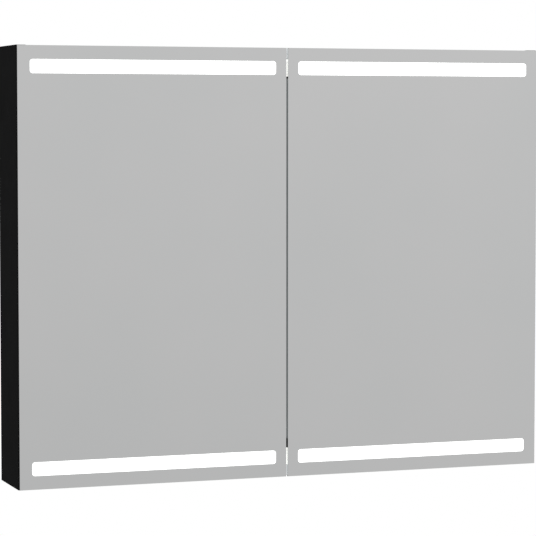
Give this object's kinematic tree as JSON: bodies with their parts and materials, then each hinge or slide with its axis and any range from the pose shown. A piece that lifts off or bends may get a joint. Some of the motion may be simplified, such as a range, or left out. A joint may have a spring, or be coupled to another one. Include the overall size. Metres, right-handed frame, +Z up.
{
  "type": "mirror cabinet",
  "caption": "Shallow wall cabinet with a pair of overlay mirror doors on concealed link hinges, lit through opal strips near the top and bottom of each door.",
  "frame": {"origin": "middle of the four wall screws, on the wall", "axes": "+X to the right along the width, +Y into the wall, +Z up; the mirrors face -Y"},
  "size_m": [0.9, 0.124, 0.703],
  "materials": {
    "black_board": "satin black lacquer on board",
    "black_steel": "black powder coat",
    "back_board": "black faced fibreboard",
    "rail_aluminium": "satin anodised",
    "opal_cover": "opal acrylic",
    "opal_lens": "satin opal acrylic",
    "led_board": "white solder mask",
    "mirror": "silvered float glass",
    "shelf_glass": "clear glass with polished edges",
    "nickel_steel": "nickel plated",
    "zinc_steel": "zinc plated",
    "clear_rubber": "clear soft pad",
    "black_rubber": "matte",
    "white_plastic": "fine grained",
    "grey_plastic": "fine grained",
    "black_plastic": "satin"
  },
  "bodies": {
    "case": {"side_panel_left": "black_board", "side_panel_right": "black_board", "top_panel": "black_board", "bottom_panel": "black_board", "centre_partition": "black_board", "back_panel": "back_board", "top_light_tray": "black_steel", "bottom_light_tray": "black_steel", "top_service_cover": "black_steel", "bottom_service_cover": "black_steel", "top_rail": "rail_aluminium", "bottom_rail": "rail_aluminium", "top_light_cover": "opal_cover", "bottom_light_cover": "opal_cover", "top_led_strip": "led_board", "bottom_led_strip": "led_board", "shelf_upper_left": "shelf_glass", "shelf_upper_right": "shelf_glass", "shelf_lower_left": "shelf_glass", "shelf_lower_right": "shelf_glass", "shelf_pins": "nickel_steel", "hinge_base_plates": "nickel_steel", "hinge_arms": "nickel_steel", "hinge_arm_pins": "nickel_steel", "hinge_screws": "nickel_steel", "cam_locks": "zinc_steel", "cam_bolts": "zinc_steel", "service_screws": "zinc_steel", "hanger_brackets": "zinc_steel", "hanger_screws": "zinc_steel", "wall_plates": "zinc_steel", "cable_grommet": "black_rubber", "led_driver": "white_plastic", "terminal_block": "white_plastic", "magnet_catches": "white_plastic", "wiring_duct": "grey_plastic", "switch_housing": "black_plastic"},
    "left_door": {"front_mirror_left": "mirror", "inner_mirror_left": "mirror", "light_lenses_left": "opal_lens", "door_bumpers_left": "clear_rubber", "catch_plates_left": "zinc_steel", "hinge_door_plates_left": "nickel_steel", "hinge_door_pins_left": "nickel_steel"},
    "left_outer_links": {"outer_links_left": "nickel_steel"},
    "left_inner_links": {"inner_links_left": "nickel_steel"},
    "right_door": {"front_mirror_right": "mirror", "inner_mirror_right": "mirror", "light_lenses_right": "opal_lens", "door_bumpers_right": "clear_rubber", "catch_plates_right": "zinc_steel", "hinge_door_plates_right": "nickel_steel", "hinge_door_pins_right": "nickel_steel"},
    "right_outer_links": {"outer_links_right": "nickel_steel"},
    "right_inner_links": {"inner_links_right": "nickel_steel"},
    "switch": {"switch_rocker": "black_plastic"}
  },
  "joints": [
    {"name": "left_outer_link_turn", "type": "hinge", "parent": "case", "child": "left_outer_links", "pos_m": [-0.406, -0.1125, -0.2515], "axis": [0, 0, 1], "range_deg": [0, 103.55]},
    {"name": "left_door_swing", "type": "hinge", "parent": "left_outer_links", "child": "left_door", "pos_m": [-0.4296, -0.1071, -0.2515], "axis": [0, 0, -1], "range_deg": [0, 203.5]},
    {"name": "left_inner_link_turn", "type": "hinge", "parent": "case", "child": "left_inner_links", "pos_m": [-0.386, -0.0977, -0.2515], "axis": [0, 0, 1], "range_deg": [0, 67.05]},
    {"name": "right_outer_link_turn", "type": "hinge", "parent": "case", "child": "right_outer_links", "pos_m": [0.406, -0.1125, -0.2515], "axis": [0, 0, -1], "range_deg": [0, 103.55]},
    {"name": "right_door_swing", "type": "hinge", "parent": "right_outer_links", "child": "right_door", "pos_m": [0.4296, -0.1071, -0.2515], "axis": [0, 0, 1], "range_deg": [0, 203.5]},
    {"name": "right_inner_link_turn", "type": "hinge", "parent": "case", "child": "right_inner_links", "pos_m": [0.386, -0.0977, -0.2515], "axis": [0, 0, -1], "range_deg": [0, 67.05]},
    {"name": "light_switch_tilt", "type": "hinge", "parent": "case", "child": "switch", "pos_m": [0.3, -0.054, -0.556], "axis": [0, -1, 0], "range_deg": [0, 14]}
  ],
  "couplings": [
    {"joint": "left_outer_link_turn", "follows": "left_door_swing", "ratio": 0.5086},
    {"joint": "left_inner_link_turn", "follows": "left_door_swing", "ratio": 0.32924},
    {"joint": "right_outer_link_turn", "follows": "right_door_swing", "ratio": 0.5086},
    {"joint": "right_inner_link_turn", "follows": "right_door_swing", "ratio": 0.32924}
  ]
}
